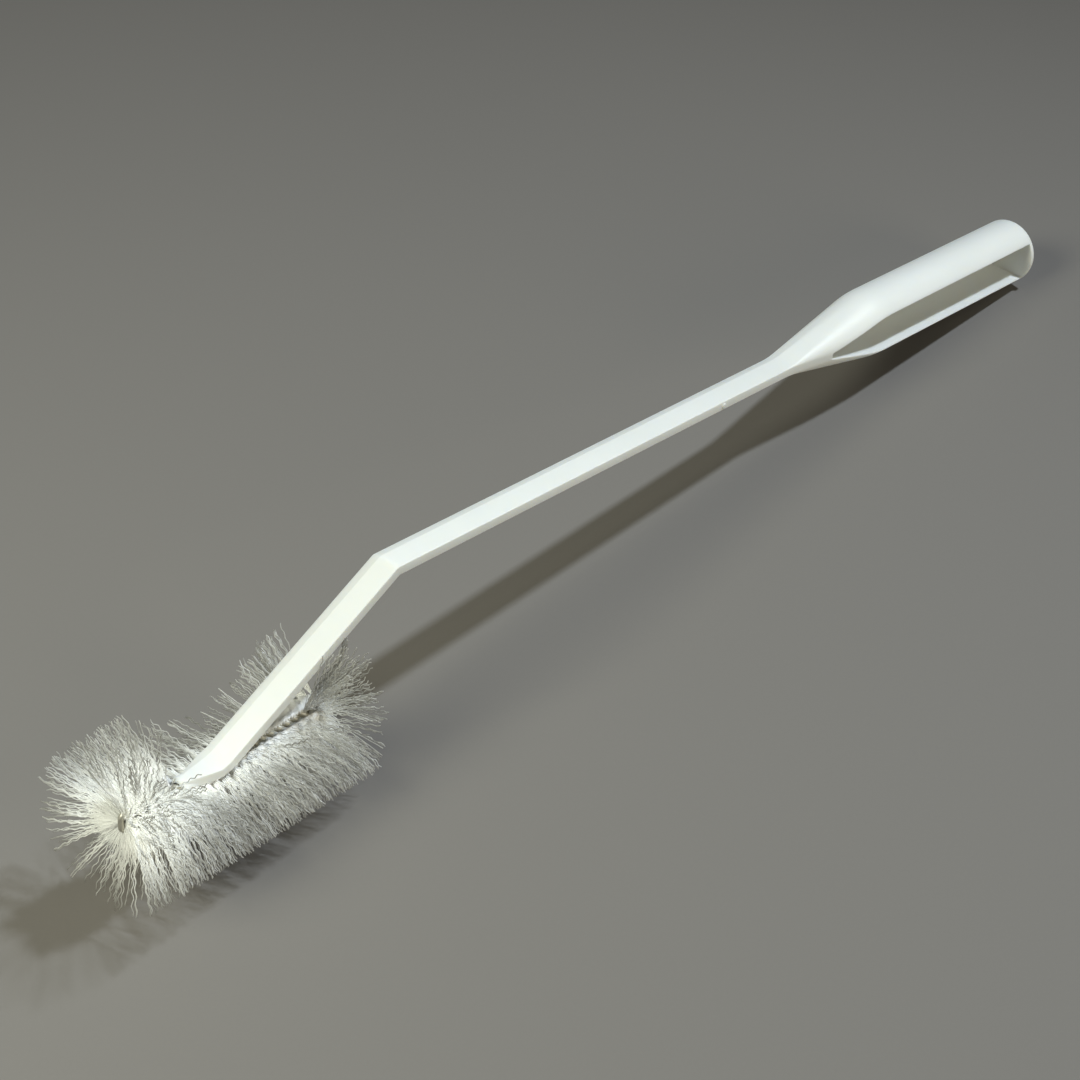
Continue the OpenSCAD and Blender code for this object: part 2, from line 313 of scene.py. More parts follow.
clear_share = add_node(tree, "ShaderNodeMapRange", {"Value": loose.outputs[0],
                       "To Min": CLEAR_PACKED, "To Max": CLEAR_LOOSE}).outputs[0]
solid = shader.outputs[0]
clear = add_node(tree, "ShaderNodeBsdfTransparent").outputs[0]
for_lamps = add_node(tree, "ShaderNodeMixShader", {0: clear_share, 1: solid, 2: clear}).outputs[0]
lamp_ray = add_node(tree, "ShaderNodeLightPath").outputs["Is Shadow Ray"]
seen = add_node(tree, "ShaderNodeMixShader", {0: lamp_ray, 1: solid, 2: for_lamps})
output = next(node for node in tree.nodes if node.type == "OUTPUT_MATERIAL")
tree.links.new(seen.outputs[0], output.inputs["Surface"])
print("made", nylon.name)

# %% [markdown]
# ## One ring of the handle
#
# The handle is one moulding: a flat stem with one pointed edge, a neck that swells from that
# section to a circle, and a round grip with a pocket along its side. Boxes and Booleans would
# leave hard, faceted joins. A loft is closer to how the mould is cut: one ring of points, swept
# from the foot to the end of the grip, that changes its form on the way.
#
# Each point of the ring belongs to one of the stem's five corners and has its own outward
# direction. At the stem it lies on that corner's small radius. At the grip it lies on the
# circle. In between it is the mix of the two, which is exactly the straight-sided neck.

# %% The stem's corners
EDGE_R, NOSE_R = 0.3, 0.15
flat, slope_at = -STEM_W / 2, STEM_W / 2 - STEM_NOSE
half_h = STEM_H / 2
SLOPE = math.atan2(STEM_NOSE, half_h)
RIGHT = math.pi / 2
# place (across, up), first and last outward direction, radius, points
corners = [
    ((flat, half_h), math.pi, RIGHT, EDGE_R, 14),
    ((slope_at, half_h), RIGHT, SLOPE, EDGE_R, 4),
    ((STEM_W / 2, 0.0), SLOPE, -SLOPE, NOSE_R, 22),
    ((slope_at, -half_h), -SLOPE, -RIGHT, EDGE_R, 4),
    ((flat, -half_h), -RIGHT, -math.pi, EDGE_R, 14),
]


def corner_centre(corner, first, last, radius):
    """Centre of the radius that rounds a corner between two sides."""
    sides = np.array([[math.cos(first), math.sin(first)], [math.cos(last), math.sin(last)]])
    return np.linalg.solve(sides, sides @ np.array(corner) - radius)


centres = [corner_centre(*c[:4]) for c in corners]
print(f"the nose's radius has its centre {centres[2][0]:.2f} mm across")

# %% Points of one ring
def edge_direction(share, mouth):
    """Outward direction at which the ring reaches the mouth's height, above the axis."""
    radius = (1 - share) * EDGE_R + share * GRIP_R
    rise = (mouth / 2 - (1 - share) * centres[0][1]) / radius
    return math.pi - math.asin(min(1.0, max(0.02, rise)))


def ring(share, mouth, shrink=0.0):
    """Points (across, up) from the mouth's upper edge round the back to its lower edge."""
    edge = edge_direction(share, mouth)
    points = []
    for (corner, first, last, radius, count), centre in zip(corners, centres):
        first, last = min(first, edge), max(last, -edge)
        for angle in np.linspace(first, last, count):
            out = np.array([math.cos(angle), math.sin(angle)])
            reach = (1 - share) * radius + share * GRIP_R - shrink
            points.append((1 - share) * centre + reach * out)
    return np.array(points)


def mouth_points(share, mouth, count, shrink=0.0):
    """Points that close the ring across the mouth, from its lower edge to its upper edge."""
    edge = edge_direction(share, mouth)
    points = []
    for angle in np.linspace(-edge, edge - 2 * math.pi, count + 2)[1:-1]:
        centre = (1 - share) * centres[0 if angle < -math.pi else 4]
        if abs(angle + math.pi) < 1e-9:
            centre = centre * [1, 0]
        out = np.array([math.cos(angle), math.sin(angle)])
        points.append(centre + ((1 - share) * EDGE_R + share * GRIP_R - shrink) * out)
    return np.array(points)


print("points in one ring of the handle:", len(ring(0.0, POCKET_START_H)))

# %% [markdown]
# ## The pocket's section
#
# Inside the grip the pocket has two flat sides and a round back, so that the wall stays even.
# In the neck the same section shrinks to a narrow slot. Again each point mixes its place in the
# slot with its place in the full pocket.

# %% The pocket's ring
SLOT_BACK = STEM_W / 2 + (GRIP_R - STEM_W / 2) * NECK_SOLID_L / NECK_L - POCKET_WALL
POCKET_R = GRIP_R - POCKET_WALL
BACK_TURN = math.asin(POCKET_H / 2 / POCKET_R)


def pocket_ring(share, lip_across):
    """Points (across, up) inside the pocket, from its lower lip round the back to its upper."""
    slot, full = (1 - share) * POCKET_START_H / 2, share
    lower = [np.array([(1 - share) * SLOT_BACK + full * POCKET_R * math.cos(a),
                       -slot + full * POCKET_R * math.sin(a)])
             for a in np.linspace(-BACK_TURN, 0, 7)]
    side = [np.array([lip_across + (lower[0][0] - lip_across) * part, lower[0][1]])
            for part in (0.1, 0.3, 0.6, 0.85)]
    below = np.array(side + lower)
    return np.concatenate([below, below[::-1] * [1, -1]])


print("points inside the pocket:", len(pocket_ring(1.0, -10.0)))

# %% [markdown]
# ## Stations along the handle
#
# A station is a place for one ring. The lower stem is straight, the bend is a small arc, and
# where the neck starts and ends the change of slope is eased over a few millimetres, as the
# radii of a mould are. Near the end of the grip the rings shrink along a quarter circle. At the
# other end the stem runs out over the foot: its last rings get lower and narrower until they
# meet the boss.

# %% Stations
BEND_R = 2.0
QUARTER = 6          # points in a small quarter round
# the stem's end over the foot, in the wire's frame: along, top, underside, share of its width
RUN_OUT = [(-10.3, 2.5, 1.2, 0.30), (-9.9, 3.0, 0.8, 0.36), (-9.0, 3.3, 0.4, 0.42),
           (-6.5, 3.42, 0.0, 0.54), (-3.0, 3.44, 0.0, 0.74), (0.0, 3.46, 0.2, 0.90),
           (1.8, 3.55, 0.5, 0.98)]
RUN_OUT_FROM = 6.0   # millimetres from the middle of the foot, where the plain stem ends
NECK_EASE, SHOULDER_EASE = 4.0, 5.0
END_R = 0.7


def eased(distance, ease):
    """Zero before a kink, the distance after it, and a smooth curve within the ease."""
    if distance <= -ease:
        return 0.0
    return distance if distance >= ease else (distance + ease) ** 2 / (4 * ease)


def neck_share(s):
    """How far the section has changed from the stem, 0, to the grip, 1."""
    return (eased(s - UPPER_STEM_L, NECK_EASE) - eased(s - SHOULDER, SHOULDER_EASE)) / NECK_L


def pocket_share(s):
    """How far the pocket has grown from its narrow start, 0, to its full height, 1."""
    growth = max(0.0, s - POCKET_START) - eased(s - SHOULDER, SHOULDER_EASE)
    return min(1.0, growth / (SHOULDER - POCKET_START))


def set_up(place, angle, points):
    """Stands a ring (across, up) across the handle at a place (x, z), in the handle's frame."""
    across, up = points.T
    return np.stack([place[0] - up * math.sin(angle), across, place[1] + up * math.cos(angle)], -1)


lower_run = [(-(s * math.cos(BEND_ANGLE)), -(s * math.sin(BEND_ANGLE)), BEND_ANGLE)
             for s in np.linspace(LOWER_STEM_L - RUN_OUT_FROM, BEND_R, 18)]
tangent = BEND_R * math.tan(BEND_ANGLE / 2)
bend = [(tangent - BEND_R * math.sin(a), BEND_R * math.cos(a) - BEND_R, a)
        for a in np.linspace(BEND_ANGLE, 0, 9)]
solid_s = np.concatenate([np.linspace(BEND_R * 2, UPPER_STEM_L - NECK_EASE, 36),
                          np.linspace(UPPER_STEM_L - NECK_EASE / 2, POCKET_START, 16)])
open_s = np.concatenate([np.linspace(POCKET_START, SHOULDER - SHOULDER_EASE, 14)[1:],
                         np.linspace(SHOULDER - SHOULDER_EASE, SHOULDER + SHOULDER_EASE, 9)[1:],
                         np.linspace(SHOULDER + SHOULDER_EASE, GRIP_END - END_WALL, 22)[1:]])
end_turns = np.linspace(0, RIGHT, QUARTER)
stations = (RUN_OUT, lower_run, bend, solid_s, open_s, end_turns)
print("stations:", sum(len(part) for part in stations))

# %% Loft the stem
SLOT_POINTS = 1

handle_mesh = bmesh.new()


def put(points):
    """Adds a ring's points to the mesh."""
    return [handle_mesh.verts.new(p) for p in points]


def put_upright(s, points):
    """Adds a ring's points where the ring stands upright, at s along the handle."""
    return put(set_up((s, 0), 0, points))


def bridge(first, second):
    """Joins two rings of as many points with quads."""
    for i in range(len(first)):
        j = (i + 1) % len(first)
        handle_mesh.faces.new((first[i], first[j], second[j], second[i]))


stem_ring = np.concatenate([ring(0, POCKET_START_H), mouth_points(0, POCKET_START_H, SLOT_POINTS)])
rings = [put(wire_to_handle([[x, across * width, (low + top) / 2 + up * (top - low) / STEM_H]
                             for across, up in stem_ring])) for x, top, low, width in RUN_OUT]
rings += [put(set_up((x, z), angle, stem_ring)) for x, z, angle in lower_run + bend]
handle_mesh.faces.new(rings[0])
for s in solid_s:
    share = neck_share(s)
    mouth_ring = mouth_points(share, POCKET_START_H, SLOT_POINTS)
    rings.append(put_upright(s, np.concatenate([ring(share, POCKET_START_H), mouth_ring])))
for first, second in zip(rings, rings[1:]):
    bridge(first, second)
print("stem:", len(rings), "rings of", len(rings[0]), "points")

# %% Loft the pocket and the end of the grip
CLOSE = 0.004        # millimetres within which points of the loft are one
END_POINTS = 13

slot_ring = rings[-1]
outer, slot_mouth = slot_ring[:-SLOT_POINTS], slot_ring[-SLOT_POINTS:]
inner = put_upright(POCKET_START, pocket_ring(0, outer[0].co.y))
handle_mesh.faces.new([outer[-1]] + slot_mouth + [outer[0]] + inner[::-1])
for s in open_s:
    share, open_share = neck_share(s), pocket_share(s)
    mouth = (1 - open_share) * POCKET_START_H + open_share * POCKET_H
    outline = ring(share, mouth)
    next_outer = put_upright(s, outline)
    next_inner = put_upright(s, pocket_ring(open_share, outline[0][0]))
    bridge(outer + inner, next_outer + next_inner)
    outer, inner = next_outer, next_inner

end_mouth = put_upright(GRIP_END - END_WALL, mouth_points(1, POCKET_H, END_POINTS))
handle_mesh.faces.new([outer[-1]] + end_mouth + [outer[0]] + inner[::-1])
last = outer + end_mouth
for turn in end_turns:
    shrink = END_R * (1 - math.cos(turn))
    outline = np.concatenate([ring(1, POCKET_H, shrink),
                              mouth_points(1, POCKET_H, END_POINTS, shrink)])
    following = put_upright(GRIP_END - END_R * (1 - math.sin(turn)), outline)
    bridge(last, following)
    last = following
handle_mesh.faces.new(last)
bmesh.ops.remove_doubles(handle_mesh, verts=handle_mesh.verts, dist=CLOSE)
bmesh.ops.dissolve_degenerate(handle_mesh, edges=handle_mesh.edges, dist=CLOSE / 2)
bmesh.ops.recalc_face_normals(handle_mesh, faces=handle_mesh.faces)
print("handle loft:", len(handle_mesh.faces), "faces; open edges:",
      sum(not e.is_manifold for e in handle_mesh.edges))

# %% [markdown]
# ## Softened edges
#
# No moulded edge is sharp. The lips of the pocket, its floor line and its two ends get a radius
# of a third of a millimetre, which is what catches the light along them.

# %% Bevel the pocket
LIP_R = 0.35
SHARP = math.radians(40)
MARGIN = 0.1         # millimetres by which an edge may lie past the pocket's ends

sharp = [e for e in handle_mesh.edges
         if e.is_manifold and e.calc_face_angle() > SHARP
         and min(v.co.x for v in e.verts) > POCKET_START - MARGIN
         and max(v.co.x for v in e.verts) < GRIP_END - END_WALL + MARGIN]
bmesh.ops.bevel(handle_mesh, geom=sharp, offset=LIP_R, offset_type="OFFSET", segments=3,
                profile=0.5, affect="EDGES", clamp_overlap=False)
bmesh.ops.recalc_face_normals(handle_mesh, faces=handle_mesh.faces)
print("softened", len(sharp), "edges; open edges now:",
      sum(not e.is_manifold for e in handle_mesh.edges))

# %% [markdown]
# ## The foot and the gate mark
#
# The foot is a round boss moulded around the wire: a profile turned about the wire's axis. The
# small round mark on the stem's flat edge is where the melt entered the mould. Both are made
# apart and joined to the loft with an exact Boolean, and the wire's bore is cut the same way, so
# that the handle is one closed skin.

# %% Turned pieces
def turned_mesh(name, profile, sides, to_frame):
    """A closed solid turned about +X from a profile of (along, radius), ends on the axis."""
    mesh = bmesh.new()
    angles = np.arange(sides) * 2 * math.pi / sides
    loops = []
    for along, radius in profile:
        points = [(along, radius * math.cos(a), radius * math.sin(a)) for a in angles]
        loops.append([mesh.verts.new(p) for p in to_frame(points)])
    for first, second in zip(loops, loops[1:]):
        for i in range(sides):
            j = (i + 1) % sides
            mesh.faces.new((first[i], first[j], second[j], second[i]))
    mesh.faces.new(loops[0])
    mesh.faces.new(loops[-1])
    bmesh.ops.recalc_face_normals(mesh, faces=mesh.faces)
    data = bpy.data.meshes.new(name)
    mesh.to_mesh(data)
    mesh.free()
    return bpy.data.objects.new(name, data)


def rounded_end(along, radius, size, outward):
    """Profile points of a turned end: a quarter round from the side to the face."""
    points = [(along - outward * size * (1 - math.sin(t)), radius - size * (1 - math.cos(t)))
              for t in np.linspace(0, RIGHT, QUARTER)]
    return points if outward > 0 else points[::-1]


GATE_S, GATE_D, GATE_RISE, GATE_EDGE, SINK = 160.0, 2.0, 0.4, 0.2, 1.0
BORE_R = 2 * WIRE_R + 0.05
boss = turned_mesh("boss", rounded_end(-FOOT_L / 2, FOOT_R, FOOT_CHAMFER, -1)
                   + rounded_end(FOOT_L / 2, FOOT_R, FOOT_CHAMFER, 1), 48, wire_to_handle)
bore = turned_mesh("bore", [(-FOOT_L, BORE_R), (FOOT_L, BORE_R)], 32, wire_to_handle)
gate_profile = [(-SINK, GATE_D / 2)] + rounded_end(GATE_RISE, GATE_D / 2, GATE_EDGE, 1)
gate = turned_mesh("gate", gate_profile, 24,
                   lambda points: [(GATE_S + p[1], flat - p[0], p[2]) for p in points])
print("made boss, bore and gate")

# %% Join the moulding
SMOOTH = math.radians(33)

handle_data = bpy.data.meshes.new("handle_skin")
handle_mesh.to_mesh(handle_data)
handle_mesh.free()
handle = bpy.data.objects.new("handle_skin", handle_data)
for obj in (handle, boss, bore, gate):
    bpy.context.scene.collection.objects.link(obj)
for other, operation in ((boss, "UNION"), (gate, "UNION"), (bore, "DIFFERENCE")):
    cut = handle.modifiers.new(other.name, "BOOLEAN")
    cut.object, cut.operation, cut.solver = other, operation, "EXACT"
graph = bpy.context.evaluated_depsgraph_get()
joined = bpy.data.meshes.new_from_object(handle.evaluated_get(graph))
handle.modifiers.clear()
handle.data = joined
for obj in (boss, bore, gate):
    bpy.data.objects.remove(obj)


def finish_piece(obj, node, material):
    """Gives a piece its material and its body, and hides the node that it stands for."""
    obj.data.materials.clear()
    obj.data.materials.append(material)
    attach(obj, "root")
    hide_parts(node)


spots = np.array([v.co for v in joined.vertices])
joined.vertices.foreach_set("co", from_handle(spots).ravel())
joined.polygons.foreach_set("use_smooth", [True] * len(joined.polygons))
joined.set_sharp_from_angle(angle=SMOOTH)
finish_piece(handle, "handle", polypropylene)
print("handle:", len(joined.polygons), "faces")

# %% [markdown]
# ## The wire
#
# One length of wire is folded in half, the filaments are laid between its two strands, and the
# strands are twisted until they lock. So the wire is one path: up one strand, round the fold at
# the tip and back down the other. The path is a formula, and a tube is swept along it.

# %% A tube along a path
def tube(path, radius, sides):
    """Vertices and quads of a closed round tube along a path of points."""
    path = np.asarray(path, float)
    along = np.gradient(path, axis=0)
    along /= np.linalg.norm(along, axis=1)[:, None]
    side = np.cross(along[0], [0.3, 0.9, 0.2])    # any direction off the path would do
    rings = []
    for point, direction in zip(path, along):
        side = side - direction * np.dot(side, direction)
        side /= np.linalg.norm(side)
        up = np.cross(direction, side)
        for a in np.arange(sides) * 2 * math.pi / sides:
            rings.append(point + radius * (side * math.cos(a) + up * math.sin(a)))
    faces = [[i * sides + j, i * sides + (j + 1) % sides,
              (i + 1) * sides + (j + 1) % sides, (i + 1) * sides + j]
             for i in range(len(path) - 1) for j in range(sides)]
    faces.append(list(range(sides))[::-1])
    faces.append([(len(path) - 1) * sides + j for j in range(sides)])
    return np.array(rings), faces


straw = tube([[0, 0, 0], [0, 0, 1]], 1, 6)
print("a tube of two points and six sides has", len(straw[1]), "faces")

# %% The twisted wire
FOLD_H, FOLD_L = 8.0, 5.0
LEAD_IN = 1.2        # millimetres between the fold and the twist
STRAND_AT, STRAND_R = 0.98, 0.99    # twisted tight, the strands press into each other a little
STEP = 0.3
fold_r = FOLD_L / 2 - WIRE_R
fold_x = -TIP_L + FOLD_L / 2
twist_from = fold_x + fold_r + LEAD_IN


def strand(xs, side):
    """Centre line of one strand in the wire's frame; side is 1 or -1."""
    turn = 2 * math.pi * (xs - twist_from) / TWIST_PITCH
    return np.stack([xs, side * STRAND_AT * np.sin(turn), -side * STRAND_AT * np.cos(turn)], -1)


def fold():
    """Centre line of the fold, from under the axis round the tip to above it."""
    rise = FOLD_H / 2 - WIRE_R - fold_r
    angles = np.linspace(0, RIGHT * 2, 12)
    low = [(fold_x + fold_r * math.cos(a), 0, -rise - fold_r * math.sin(a)) for a in angles]
    mid = [(fold_x - fold_r, 0, z) for z in np.linspace(-rise, rise, 6)[1:-1]]
    high = [(fold_x - fold_r * math.cos(a), 0, rise + fold_r * math.sin(a)) for a in angles]
    return np.array(low + mid + high)


xs = np.arange(TAIL_L, twist_from, -STEP)
path = np.concatenate([strand(xs, 1), fold(), strand(xs, -1)[::-1]])
for _ in range(2):
    path[1:-1] = (path[:-2] + 2 * path[1:-1] + path[2:]) / 4
verts, faces = tube(path, STRAND_R, 12)
wire_data = bpy.data.meshes.new("twisted_wire")
wire_data.from_pydata(from_wire(verts), [], faces)
wire_data.polygons.foreach_set("use_smooth", [True] * len(wire_data.polygons))
wire_data.set_sharp_from_angle(angle=SMOOTH)
wire = bpy.data.objects.new("twisted_wire", wire_data)
bpy.context.scene.collection.objects.link(wire)
finish_piece(wire, "spine_wire", steel)
print("wire:", len(path), "points,", len(faces), "faces")

# %% [markdown]
# ## The filaments
#
# This is the part that makes the brush. Hair particles would be quick, but their thickness is
# lost once they are meshes, so each filament is a thin three-sided tube. All filaments of one
# twist of the wire are made at once with arrays: where they start, which way they point, how
# long they are and how they are crimped are columns of random numbers from one seeded source.
#
# The twisted strands hold the filaments in two spiral rows, dense at the root and open at the
# tips. Crimped filaments also catch on their neighbours, so they come in clumps of three whose
# waves run together. The head leans outward at both ends, and where the table is in the way a
# filament bends and slides.
#
# The handle lies over the wire and pushes the filaments aside. `folded` says how: it takes a
# direction around the wire, with zero straight up, and gives the one that is left once the stem
# and the foot have taken their room. Only the last twist, where the stem has risen well clear of
# the wire, fans out.
#
# Near the wire the real head is too dense to see into. Two things stand for that: short
# filaments between the long ones, and a skin, which is the surface of the imported roots.

# %% Filament sizes
FILAMENT_D, FILAMENT_L = 0.34, 28.4
# clumps in one twist: most twists, the first at the cut ends, and the second and the last
CLUMPS, CLUMPS_TAIL, CLUMPS_TIP = 64, 120, 88
IN_CLUMP, SEGMENTS, SIDES = 3, 28, 3
# clumps of short ones in one twist: on the side of the cut ends, and from the foot to the tip
SHORT_CLUMPS, SHORT_CLUMPS_TIP, SHORT_SEGMENTS = 260, 460, 4
CRIMP_MM, CRIMP_DEEP, CRIMP_FADE = 3.8, 0.33, 6.0
TIP_LEAN, TAIL_LEAN = math.radians(19), math.radians(9)
TIP_ROOTS = -30.8
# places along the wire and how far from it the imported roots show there
ROOT_REACH = ([-30.0, -14.0, 0.0, 46.0], [13.0, 12.0, 8.0, 10.0])
rng = np.random.default_rng(27)

wire_fall = lean - wire_rise
foot_height = from_wire([0, 0, 0])[0][2] / MM
print(f"the wire's axis is {foot_height:.1f} mm above the table at the foot")

# %% How the handle folds the filaments
JUST_OFF = 1e-6      # radians to either side of straight up
FOLDED_NEAR, FOLDED_END, SPLAY = math.radians(66), 38.5, 1.6
# places along the wire and how far round it the filaments of the far side are pushed there
FAR_X, FAR_DEGREES = [-10.5, -2.0, 8.0, 31.0, 46.0], [35, 72, 98, 97, 62]
STEM_ROOM = 1.0
# millimetres past the foot over which the push fades, on the far side and on the near side
FADE_FAR, FADE_NEAR = 4, 12


def folded(x, around):
    """Directions around the wire once the handle has pushed filaments at places x aside."""
    under = x * math.tan(HEAD_ANGLE) - half_h / math.cos(HEAD_ANGLE)
    beside = np.arctan2(STEM_W / 2 + STEM_ROOM, np.maximum(under, 0.02))
    near = np.where(x > FOLDED_END, beside, np.maximum(FOLDED_NEAR, beside))
    along_foot = np.clip((x + FOOT_L / 2) / (FOOT_L / 2 - FOOT_R), 0, 1)
    near = np.where(x < -FOOT_R, FOLDED_NEAR + (RIGHT - FOLDED_NEAR) * along_foot, near)
    far = np.interp(x, FAR_X, np.radians(FAR_DEGREES))
    gap = np.where(around > 0, np.maximum(far, beside), near)
    beyond = np.maximum(-FOOT_L / 2 - x, 0)
    gap = gap * np.clip(1 - beyond / np.where(around > 0, FADE_FAR, FADE_NEAR), 0, 1)
    share = np.abs(around) / math.pi
    share = np.where(x > FOLDED_END, share ** SPLAY, share)
    return np.sign(around) * (gap + share * (math.pi - gap))


pushed = np.degrees(folded(np.zeros(2), np.array([JUST_OFF, -JUST_OFF])))
print("at the foot, straight up is pushed to", pushed.round(), "degrees")

# %% How the filaments differ
# how much the clumps and the filaments in them differ, as standard deviations
ROOT_SCATTER, LENGTH_SCATTER, PHASE_SCATTER = 0.1, 0.03, 0.5
STRAY, STRAY_AT_TIP = 0.2, 0.6      # around the wire; the second is for short ones past the foot
CLUMP_TILT, OWN_TILT = math.radians(4.5), math.radians(0.9)
CLUMP_SWEEP, OWN_SWEEP = 0.09, 0.019
BEND_MM = 5.0        # how far from its root a pushed filament has turned to its new direction
IN_FOOT = 0.2        # how deep in the foot the filaments there start
TIP_POWER, TAIL_POWER = 1.3, 2.2    # how late the lean sets in towards each end
SHORTEST = 0.45      # the shortest of the short filaments, as a share of the longest


def each(clump_values):
    """Repeats a value of each clump for its filaments."""
    return np.repeat(clump_values, IN_CLUMP)


print("two clumps' values for their filaments:", each([1, 2]))

# %% Paths of one twist's filaments
def filament_paths(first_x, last_x, clumps, segments, root_reach=None):
    """Paths in the wire's frame: an array of filaments by segments + 1 by 3."""
    clumps = round(clumps * (last_x - first_x) / TWIST_PITCH)
    count = clumps * IN_CLUMP
    share = (np.arange(clumps) + rng.uniform(0, 1, clumps)) / clumps
    row = rng.permutation(np.arange(clumps) % 2) * math.pi
    x = each(first_x + (last_x - first_x) * share) + rng.normal(0, ROOT_SCATTER, count)
    turn = 2 * math.pi * (x - twist_from) / TWIST_PITCH + each(row) + RIGHT
    stray = STRAY if root_reach is None or last_x > -FOOT_L / 2 else STRAY_AT_TIP
    turn += each(rng.normal(0, stray, clumps))
    around = (turn + math.pi) % (2 * math.pi) - math.pi
    opened = folded(x, around)
    on_boss = np.abs(x) < FOOT_L / 2
    start_r = np.where(on_boss, FOOT_R - IN_FOOT, np.interp(x, [-31, -27], [0.4, 1.2]) * WIRE_R)
    start_around = np.where(x > -FOOT_L / 2, opened, (around + opened) / 2)
    place = (x - TIP_ROOTS) / (ROOTS_END - TIP_ROOTS)
    tilt = (-TIP_LEAN * np.clip(1 - 2 * place, 0, 1) ** TIP_POWER
            + TAIL_LEAN * np.clip(2 * place - 1, 0, 1) ** TAIL_POWER)
    tilt += each(rng.normal(0, CLUMP_TILT, clumps)) + rng.normal(0, OWN_TILT, count)
    length = np.minimum(HEAD_R / np.cos(tilt), FILAMENT_L)
    length *= 1 - np.abs(rng.normal(0, LENGTH_SCATTER, count))
    if root_reach is not None:
        longest = np.interp(x, *root_reach)
        length = np.minimum(length, longest * rng.uniform(SHORTEST, 1.0, count))
        length = np.maximum(length, start_r + 0.5)
    along = np.linspace(0, 1, segments + 1)[None, :]
    reach = start_r[:, None] + (length - start_r)[:, None] * along
    bent = np.clip((reach - start_r[:, None]) / BEND_MM, 0, 1)
    bent = bent * bent * (3 - 2 * bent)
    angle = start_around[:, None] + (opened - start_around)[:, None] * bent
    sweep = each(rng.normal(0, CLUMP_SWEEP, clumps)) + rng.normal(0, OWN_SWEEP, count)
    angle = angle + sweep[:, None] * along
    lean_now = tilt[:, None] * np.clip(0.45 + along, 0, 1)
    radial = reach * np.cos(lean_now)
    return np.stack([x[:, None] + reach * np.sin(lean_now), radial * np.sin(angle),
                     radial * np.cos(angle)], -1)


print("long filaments in one middle twist:", CLUMPS * IN_CLUMP)

# %% The crimp
def crimp(paths):
    """Adds the crimp: a wave across each path that its clump shares, fading in from the root."""
    count = len(paths)
    chord = paths[:, -1] - paths[:, 0]
    length = np.linalg.norm(chord, axis=1)
    chord /= length[:, None]
    clumps = count // IN_CLUMP
    other = np.repeat(rng.normal(0, 1, (clumps, 3)), IN_CLUMP, axis=0)
    across = np.cross(chord, other)
    across /= np.linalg.norm(across, axis=1)[:, None]
    travel = np.linspace(0, 1, paths.shape[1])[None, :] * length[:, None]
    wave_l = CRIMP_MM * each(rng.uniform(0.85, 1.2, clumps))
    phase = each(rng.uniform(0, 2 * math.pi, clumps)) + rng.normal(0, PHASE_SCATTER, count)
    deep = CRIMP_DEEP * rng.uniform(0.7, 1.2, count)[:, None] * np.clip(travel / CRIMP_FADE, 0, 1)
    wave = deep * np.sin(2 * math.pi * travel / wave_l[:, None] + phase[:, None])
    return paths + wave[..., None] * across[:, None, :]


print(f"waves along one long filament: about {FILAMENT_L / CRIMP_MM:.0f}")

# %% Filaments on the table
TABLE_GAP = 0.25     # millimetres of air under a filament that lies
SETTLE, CREEP = 0.6, 0.02    # share of its room that one segment may use up, and millimetres more


def height_of(points):
    """Height over the table of points in the wire's frame, in millimetres."""
    rise = points[..., 2] * math.cos(wire_fall)
    return foot_height - points[..., 0] * math.sin(wire_fall) + rise


def rest_on_table(paths):
    """Bends every path that would go through the table, keeping each segment's length."""
    steps = np.diff(paths, axis=1)
    sizes = np.linalg.norm(steps, axis=2)
    up = np.array([-math.sin(wire_fall), 0.0, math.cos(wire_fall)])
    out = paths.copy()
    for k in range(steps.shape[1]):
        step, size = steps[:, k], sizes[:, k]
        climb = step @ up
        room = height_of(out[:, k]) - TABLE_GAP
        lowest = -np.minimum(room, np.maximum(room, 0) * SETTLE + CREEP)
        bent = np.maximum(climb, lowest)
        level = step - climb[:, None] * up
        level_size = np.linalg.norm(level, axis=1)
        wanted = np.sqrt(np.maximum(size ** 2 - bent ** 2, 1e-9))
        scale = np.where(climb < lowest, wanted / np.maximum(level_size, 1e-6), 1.0)
        out[:, k + 1] = out[:, k] + level * scale[:, None] + bent[:, None] * up
    return out


print(f"the cut ends of the wire are {height_of(np.array([TAIL_L, 0, 0])):.1f} mm up")

# %% Thin tubes around many paths
def tubes(paths):
    """Vertices, quads and triangles of thin tubes, each closed by a point at both ends."""
    count, points = paths.shape[:2]
    chord = paths[:, -1] - paths[:, 0]
    chord /= np.linalg.norm(chord, axis=1)[:, None]
    first = np.cross(chord, [0.21, 0.94, 0.27])    # any direction off the chord would do
    first /= np.linalg.norm(first, axis=1)[:, None]
    second = np.cross(chord, first)
    angles = np.arange(SIDES) * 2 * math.pi / SIDES
    out = (first[:, None, :] * np.cos(angles)[None, :, None]
           + second[:, None, :] * np.sin(angles)[None, :, None])
    radius = FILAMENT_D / 2 * rng.uniform(0.88, 1.12, count)
    around = paths[:, :, None, :] + out[:, None] * radius[:, None, None, None]
    tips = paths[:, -1] + chord * radius[:, None]
    around = around.reshape(count, points * SIDES, 3)
    verts = np.concatenate([around, tips[:, None], paths[:, :1]], 1)
    quads = [(p * SIDES + j, p * SIDES + (j + 1) % SIDES,
              (p + 1) * SIDES + (j + 1) % SIDES, (p + 1) * SIDES + j)
             for p in range(points - 1) for j in range(SIDES)]
    last, tip, root = (points - 1) * SIDES, points * SIDES, points * SIDES + 1
    ends = [(last + j, last + (j + 1) % SIDES, tip) for j in range(SIDES)]
    ends += [((j + 1) % SIDES, j, root) for j in range(SIDES)]
    offsets = (np.arange(count) * (points * SIDES + 2))[:, None, None]
    faces = [(np.array(group)[None] + offsets).reshape(-1, len(group[0]))
             for group in (quads, ends)]
    return verts.reshape(-1, 3), faces[0], faces[1]


print("triangles in one long filament:", 2 * SIDES * (SEGMENTS + 1))

